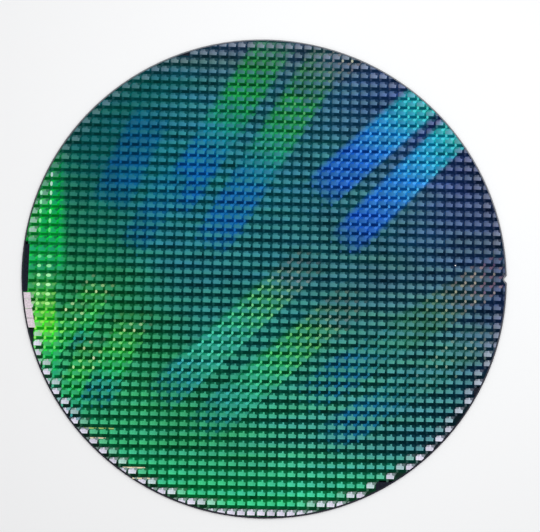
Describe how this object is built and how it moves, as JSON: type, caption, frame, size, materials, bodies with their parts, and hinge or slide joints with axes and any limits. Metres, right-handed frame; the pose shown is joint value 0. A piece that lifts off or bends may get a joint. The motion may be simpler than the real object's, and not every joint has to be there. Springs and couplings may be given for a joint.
{
  "type": "silicon wafer",
  "caption": "Flat round silicon wafer with a ground edge, an orientation notch and a grid of small square dies on its face.",
  "frame": {"origin": "centre of the flat back face", "axes": "+Z leaves the patterned face, the notch is on the +X side, and the rows of dies run along X"},
  "size_m": [0.2, 0.2, 0.0007],
  "materials": {
    "silicon": "polished"
  },
  "bodies": {
    "root": {"wafer": "silicon"}
  },
  "joints": []
}
